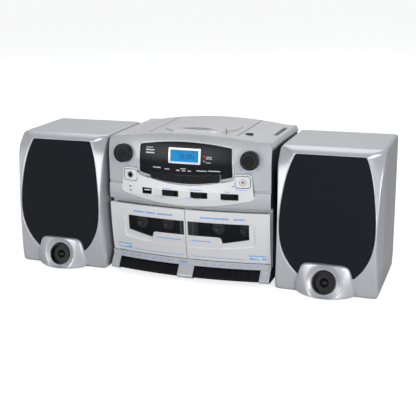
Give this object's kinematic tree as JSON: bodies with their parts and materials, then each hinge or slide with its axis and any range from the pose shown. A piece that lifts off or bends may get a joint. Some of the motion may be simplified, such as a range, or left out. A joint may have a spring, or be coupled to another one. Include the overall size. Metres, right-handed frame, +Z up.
{
  "type": "boombox",
  "caption": "Portable stereo with disc player, twin cassette decks, radio with aerial and lift-off loudspeakers with working doors, lid, keys, knobs and switches.",
  "frame": {"origin": "on the surface the set stands on, under the middle of its bounding box", "axes": "+X to the listener's right along the longest side, +Y away from the listener, +Z up"},
  "size_m": [0.5594, 0.198, 0.2163],
  "materials": {
    "silver_plastic": "fine metallic silver paint on moulded plastic",
    "door_plastic": "fine metallic silver paint on moulded plastic",
    "charcoal_plastic": "fine-grained moulded plastic",
    "grey_cabinet": "satin silver-grey",
    "gloss_panel": "polished",
    "bezel_silver": "satin silver",
    "lcd_blue": "lit display",
    "black_fitting": "satin",
    "key_black": "satin",
    "deck_black": "satin",
    "reel_grey": "satin",
    "smoked_window": "smoked clear plastic",
    "grille_black": "fine stretched cloth",
    "driver_black": "paper cone and plastic basket",
    "board_green": "solder mask",
    "steel": "zinc plated",
    "aerial_chrome": "polished",
    "rubber_black": "matte"
  },
  "bodies": {
    "centre_unit": {"front_cabinet": "silver_plastic", "rear_cabinet": "charcoal_plastic", "top_cover": "silver_plastic", "control_panel": "silver_plastic", "display_panel": "gloss_panel", "lcd_bezel": "bezel_silver", "lcd_screen": "lcd_blue", "sockets": "black_fitting", "tape_mechanism": "deck_black", "cd_deck": "deck_black", "main_board": "board_green", "power_transformer": "steel", "rubber_feet": "rubber_black", "case_screws": "steel"},
    "speaker_left": {"speaker_cabinet_left": "grey_cabinet", "speaker_baffle_left": "silver_plastic", "speaker_grille_left": "grille_black", "speaker_drivers_left": "driver_black"},
    "speaker_right": {"speaker_cabinet_right": "grey_cabinet", "speaker_baffle_right": "silver_plastic", "speaker_grille_right": "grille_black", "speaker_drivers_right": "driver_black"},
    "volume_knob": {"volume_knob": "black_fitting"},
    "tuning_knob": {"tuning_knob": "black_fitting"},
    "cd_program_button": {"cd_program_button": "black_fitting"},
    "cd_mode_button": {"cd_mode_button": "black_fitting"},
    "cd_skip_back_button": {"cd_skip_back_button": "black_fitting"},
    "cd_play_button": {"cd_play_button": "black_fitting"},
    "cd_skip_forward_button": {"cd_skip_forward_button": "black_fitting"},
    "cd_stop_button": {"cd_stop_button": "black_fitting"},
    "function_switch": {"function_switch": "black_fitting"},
    "band_switch": {"band_switch": "black_fitting"},
    "mode_switch": {"mode_switch": "black_fitting"},
    "cassette_door_left": {"cassette_door_left": "door_plastic", "cassette_window_left": "smoked_window"},
    "cassette_door_right": {"cassette_door_right": "door_plastic", "cassette_window_right": "smoked_window"},
    "supply_reel_left": {"supply_reel_left": "reel_grey"},
    "takeup_reel_left": {"takeup_reel_left": "reel_grey"},
    "supply_reel_right": {"supply_reel_right": "reel_grey"},
    "takeup_reel_right": {"takeup_reel_right": "reel_grey"},
    "cd_lid": {"cd_lid": "silver_plastic"},
    "power_button": {"power_button": "black_fitting"},
    "turntable": {"turntable": "deck_black"},
    "cd_pickup": {"cd_pickup": "deck_black"},
    "left_pause_key": {"left_pause_key": "key_black"},
    "left_stop_key": {"left_stop_key": "key_black"},
    "left_fast_forward_key": {"left_fast_forward_key": "key_black"},
    "left_rewind_key": {"left_rewind_key": "key_black"},
    "left_play_key": {"left_play_key": "key_black"},
    "left_record_key": {"left_record_key": "key_black"},
    "right_pause_key": {"right_pause_key": "key_black"},
    "right_stop_key": {"right_stop_key": "key_black"},
    "right_fast_forward_key": {"right_fast_forward_key": "key_black"},
    "right_rewind_key": {"right_rewind_key": "key_black"},
    "right_play_key": {"right_play_key": "key_black"},
    "right_record_key": {"right_record_key": "key_black"},
    "antenna_lower": {"antenna_lower": "aerial_chrome"},
    "antenna_upper": {"antenna_upper": "aerial_chrome"},
    "battery_door": {"battery_door": "charcoal_plastic"}
  },
  "joints": [
    {"name": "speaker_left_lift", "type": "slide", "parent": "centre_unit", "child": "speaker_left", "axis": [0, 0, 1], "range_m": [0, 0.15]},
    {"name": "speaker_right_lift", "type": "slide", "parent": "centre_unit", "child": "speaker_right", "axis": [0, 0, 1], "range_m": [0, 0.15]},
    {"name": "volume_turn", "type": "hinge", "parent": "centre_unit", "child": "volume_knob", "pos_m": [-0.096, -0.06722, 0.1835], "axis": [-0.1533, -0.9783, 0.1392], "range_deg": [-150, 150]},
    {"name": "tuning_turn", "type": "hinge", "parent": "centre_unit", "child": "tuning_knob", "pos_m": [0.096, -0.06722, 0.1835], "axis": [0.1533, -0.9783, 0.1392], "range_deg": [-450, 450]},
    {"name": "cd_program_press", "type": "slide", "parent": "centre_unit", "child": "cd_program_button", "axis": [0, 1, 0], "range_m": [0, 0.0006], "stiffness_N_per_m": 500, "springref_m": -0.0015},
    {"name": "cd_mode_press", "type": "slide", "parent": "centre_unit", "child": "cd_mode_button", "axis": [0, 1, 0], "range_m": [0, 0.0006], "stiffness_N_per_m": 500, "springref_m": -0.0015},
    {"name": "cd_skip_back_press", "type": "slide", "parent": "centre_unit", "child": "cd_skip_back_button", "axis": [0, 1, 0], "range_m": [0, 0.0006], "stiffness_N_per_m": 500, "springref_m": -0.0015},
    {"name": "cd_play_press", "type": "slide", "parent": "centre_unit", "child": "cd_play_button", "axis": [0, 1, 0], "range_m": [0, 0.0006], "stiffness_N_per_m": 500, "springref_m": -0.0015},
    {"name": "cd_skip_forward_press", "type": "slide", "parent": "centre_unit", "child": "cd_skip_forward_button", "axis": [0, 1, 0], "range_m": [0, 0.0006], "stiffness_N_per_m": 500, "springref_m": -0.0015},
    {"name": "cd_stop_press", "type": "slide", "parent": "centre_unit", "child": "cd_stop_button", "axis": [0, 1, 0], "range_m": [0, 0.0006], "stiffness_N_per_m": 500, "springref_m": -0.0015},
    {"name": "function_switch_slide", "type": "slide", "parent": "centre_unit", "child": "function_switch", "axis": [0.9994, -0.0358, 0], "range_m": [-0.0052, 0.0052]},
    {"name": "band_switch_slide", "type": "slide", "parent": "centre_unit", "child": "band_switch", "axis": [0.9994, 0.0355, 0], "range_m": [-0.0052, 0.0052]},
    {"name": "mode_switch_slide", "type": "slide", "parent": "centre_unit", "child": "mode_switch", "axis": [0.9941, 0.1084, 0], "range_m": [-0.0052, 0.0052]},
    {"name": "cassette_door_left_open", "type": "hinge", "parent": "centre_unit", "child": "cassette_door_left", "pos_m": [0, -0.058, 0.036], "axis": [1, 0, 0], "range_deg": [0, 25]},
    {"name": "cassette_door_right_open", "type": "hinge", "parent": "centre_unit", "child": "cassette_door_right", "pos_m": [0, -0.058, 0.036], "axis": [1, 0, 0], "range_deg": [0, 25]},
    {"name": "supply_reel_left_spin", "type": "hinge", "parent": "centre_unit", "child": "supply_reel_left", "pos_m": [-0.083, -0.044, 0.073], "axis": [0, -1, 0], "continuous": true},
    {"name": "takeup_reel_left_spin", "type": "hinge", "parent": "centre_unit", "child": "takeup_reel_left", "pos_m": [-0.04, -0.044, 0.073], "axis": [0, -1, 0], "continuous": true},
    {"name": "supply_reel_right_spin", "type": "hinge", "parent": "centre_unit", "child": "supply_reel_right", "pos_m": [0.04, -0.044, 0.073], "axis": [0, -1, 0], "continuous": true},
    {"name": "takeup_reel_right_spin", "type": "hinge", "parent": "centre_unit", "child": "takeup_reel_right", "pos_m": [0.083, -0.044, 0.073], "axis": [0, -1, 0], "continuous": true},
    {"name": "cd_lid_open", "type": "hinge", "parent": "centre_unit", "child": "cd_lid", "pos_m": [0, 0.085, 0.2005], "axis": [-1, 0, 0], "range_deg": [0, 65]},
    {"name": "power_press", "type": "slide", "parent": "centre_unit", "child": "power_button", "axis": [0, 0, -1], "range_m": [0, 0.0015], "stiffness_N_per_m": 400, "springref_m": -0.002},
    {"name": "turntable_spin", "type": "hinge", "parent": "centre_unit", "child": "turntable", "pos_m": [0, 0.022, 0.188], "axis": [0, 0, 1], "continuous": true},
    {"name": "cd_pickup_travel", "type": "slide", "parent": "centre_unit", "child": "cd_pickup", "axis": [1, 0, 0], "range_m": [0, 0.028]},
    {"name": "left_pause_press", "type": "hinge", "parent": "centre_unit", "child": "left_pause_key", "pos_m": [0, -0.034, 0.016], "axis": [1, 0, 0], "range_deg": [0, 5], "stiffness_Nm_per_rad": 0.6, "springref_deg": -5.73},
    {"name": "left_stop_press", "type": "hinge", "parent": "centre_unit", "child": "left_stop_key", "pos_m": [0, -0.034, 0.016], "axis": [1, 0, 0], "range_deg": [0, 5], "stiffness_Nm_per_rad": 0.6, "springref_deg": -5.73},
    {"name": "left_fast_forward_press", "type": "hinge", "parent": "centre_unit", "child": "left_fast_forward_key", "pos_m": [0, -0.034, 0.016], "axis": [1, 0, 0], "range_deg": [0, 5], "stiffness_Nm_per_rad": 0.6, "springref_deg": -5.73},
    {"name": "left_rewind_press", "type": "hinge", "parent": "centre_unit", "child": "left_rewind_key", "pos_m": [0, -0.034, 0.016], "axis": [1, 0, 0], "range_deg": [0, 5], "stiffness_Nm_per_rad": 0.6, "springref_deg": -5.73},
    {"name": "left_play_press", "type": "hinge", "parent": "centre_unit", "child": "left_play_key", "pos_m": [0, -0.034, 0.016], "axis": [1, 0, 0], "range_deg": [0, 5], "stiffness_Nm_per_rad": 0.6, "springref_deg": -5.73},
    {"name": "left_record_press", "type": "hinge", "parent": "centre_unit", "child": "left_record_key", "pos_m": [0, -0.034, 0.016], "axis": [1, 0, 0], "range_deg": [0, 5], "stiffness_Nm_per_rad": 0.6, "springref_deg": -5.73},
    {"name": "right_pause_press", "type": "hinge", "parent": "centre_unit", "child": "right_pause_key", "pos_m": [0, -0.034, 0.016], "axis": [1, 0, 0], "range_deg": [0, 5], "stiffness_Nm_per_rad": 0.6, "springref_deg": -5.73},
    {"name": "right_stop_press", "type": "hinge", "parent": "centre_unit", "child": "right_stop_key", "pos_m": [0, -0.034, 0.016], "axis": [1, 0, 0], "range_deg": [0, 5], "stiffness_Nm_per_rad": 0.6, "springref_deg": -5.73},
    {"name": "right_fast_forward_press", "type": "hinge", "parent": "centre_unit", "child": "right_fast_forward_key", "pos_m": [0, -0.034, 0.016], "axis": [1, 0, 0], "range_deg": [0, 5], "stiffness_Nm_per_rad": 0.6, "springref_deg": -5.73},
    {"name": "right_rewind_press", "type": "hinge", "parent": "centre_unit", "child": "right_rewind_key", "pos_m": [0, -0.034, 0.016], "axis": [1, 0, 0], "range_deg": [0, 5], "stiffness_Nm_per_rad": 0.6, "springref_deg": -5.73},
    {"name": "right_play_press", "type": "hinge", "parent": "centre_unit", "child": "right_play_key", "pos_m": [0, -0.034, 0.016], "axis": [1, 0, 0], "range_deg": [0, 5], "stiffness_Nm_per_rad": 0.6, "springref_deg": -5.73},
    {"name": "right_record_press", "type": "hinge", "parent": "centre_unit", "child": "right_record_key", "pos_m": [0, -0.034, 0.016], "axis": [1, 0, 0], "range_deg": [0, 5], "stiffness_Nm_per_rad": 0.6, "springref_deg": -5.73},
    {"name": "antenna_swing", "type": "hinge", "parent": "centre_unit", "child": "antenna_lower", "pos_m": [-0.104, 0.0952, 0.186], "axis": [0, -1, 0], "range_deg": [0, 135]},
    {"name": "antenna_extend", "type": "slide", "parent": "antenna_lower", "child": "antenna_upper", "axis": [1, 0, 0], "range_m": [0, 0.15]},
    {"name": "battery_door_open", "type": "hinge", "parent": "centre_unit", "child": "battery_door", "pos_m": [0, 0.0891, 0.0109], "axis": [-1, 0, 0], "range_deg": [0, 75]}
  ]
}
